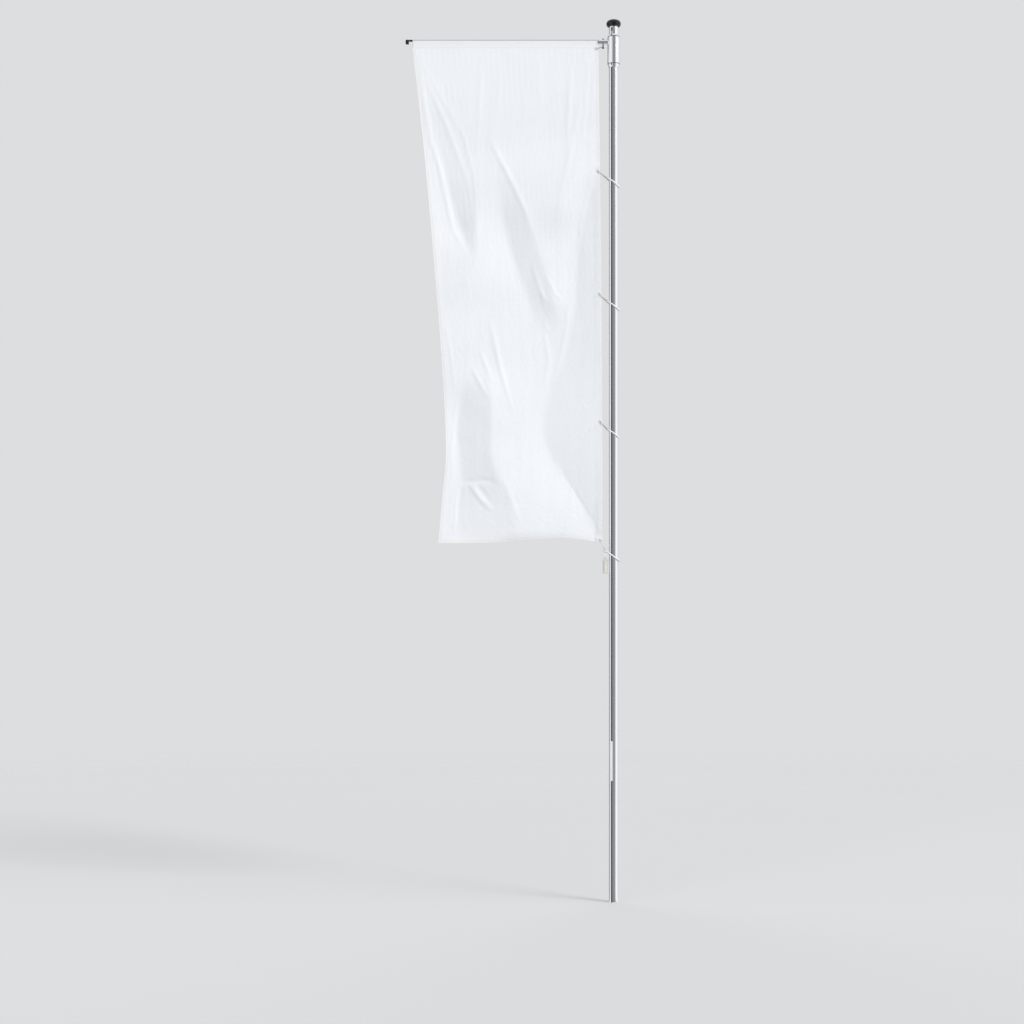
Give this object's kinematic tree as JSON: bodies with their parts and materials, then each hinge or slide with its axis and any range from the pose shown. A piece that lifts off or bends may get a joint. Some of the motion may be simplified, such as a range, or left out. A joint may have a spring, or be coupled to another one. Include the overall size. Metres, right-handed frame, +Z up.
{
  "type": "banner flagpole",
  "caption": "Round aluminium flagpole with a slotted mast, internal halyard, hoisted turning banner arm, hanging portrait banner, strap rings and a weight.",
  "frame": {"origin": "centre of the mast's foot, at ground level", "axes": "+Z up along the mast; the banner arm points along -X at rest"},
  "size_m": [1.722, 0.116, 7.0593],
  "materials": {
    "mast_metal": "polished and anodised",
    "head_metal": "polished and anodised",
    "lock_metal": "satin anodised",
    "steel": "satin",
    "black_steel": "black oxide",
    "eyelet_metal": "nickel plated",
    "cap_plastic": "glossy black",
    "dark_plastic": "satin black",
    "clip_plastic": "satin grey",
    "weight_plastic": "satin off-white",
    "halyard_rope": "braided, dark grey",
    "strap_cord": "braided, white",
    "banner_fabric": "thin white polyester with a soft sheen"
  },
  "bodies": {
    "mast": {"pole_tube": "mast_metal", "pole_cap": "cap_plastic", "pulley_housing": "mast_metal", "pulley_axle": "steel", "halyard": "halyard_rope", "rope_cleat": "dark_plastic", "lock_plate": "lock_metal", "lock_barrel": "lock_metal"},
    "pulley": {"pulley_sheave": "dark_plastic"},
    "carriage": {"carriage_tube": "mast_metal", "lower_collar": "head_metal", "upper_collar": "head_metal", "lower_washer": "dark_plastic", "upper_washer": "dark_plastic", "lower_bearing": "dark_plastic", "upper_bearing": "dark_plastic", "slot_slider": "dark_plastic", "collar_screws": "black_steel"},
    "head": {"head_sleeve": "head_metal", "arm_stub": "head_metal", "arm_rod": "dark_plastic", "arm_end_cap": "dark_plastic", "arm_stop": "dark_plastic", "arm_screw": "black_steel", "corner_screw": "black_steel", "corner_link": "steel", "banner_cloth": "banner_fabric", "banner_tunnel": "banner_fabric", "eyelet_1": "eyelet_metal", "eyelet_2": "eyelet_metal", "eyelet_3": "eyelet_metal", "eyelet_4": "eyelet_metal", "eyelet_5": "eyelet_metal", "strap_ring_1": "strap_cord", "strap_ring_2": "strap_cord", "strap_ring_3": "strap_cord", "strap_clip_1": "clip_plastic", "strap_clip_2": "clip_plastic", "strap_clip_3": "clip_plastic", "bottom_strap_ring": "strap_cord", "strap_knob": "weight_plastic", "bottom_link": "steel", "junction_ring": "steel"},
    "weight": {"weight_body": "weight_plastic", "weight_cord": "strap_cord"}
  },
  "joints": [
    {"name": "pulley_turn", "type": "hinge", "parent": "mast", "child": "pulley", "pos_m": [-0.00438, -0.00899, 6.975], "axis": [0.8988, -0.4384, 0], "continuous": true},
    {"name": "hoist", "type": "slide", "parent": "mast", "child": "carriage", "axis": [0, 0, -1], "range_m": [0, 2.6]},
    {"name": "head_turn", "type": "hinge", "parent": "carriage", "child": "head", "pos_m": [0, 0, 6.8], "axis": [0, 0, 1], "continuous": true},
    {"name": "weight_swing", "type": "hinge", "parent": "head", "child": "weight", "pos_m": [-0.068, 0, 2.7975], "axis": [1, 0, 0], "range_deg": [-45, 45]}
  ]
}
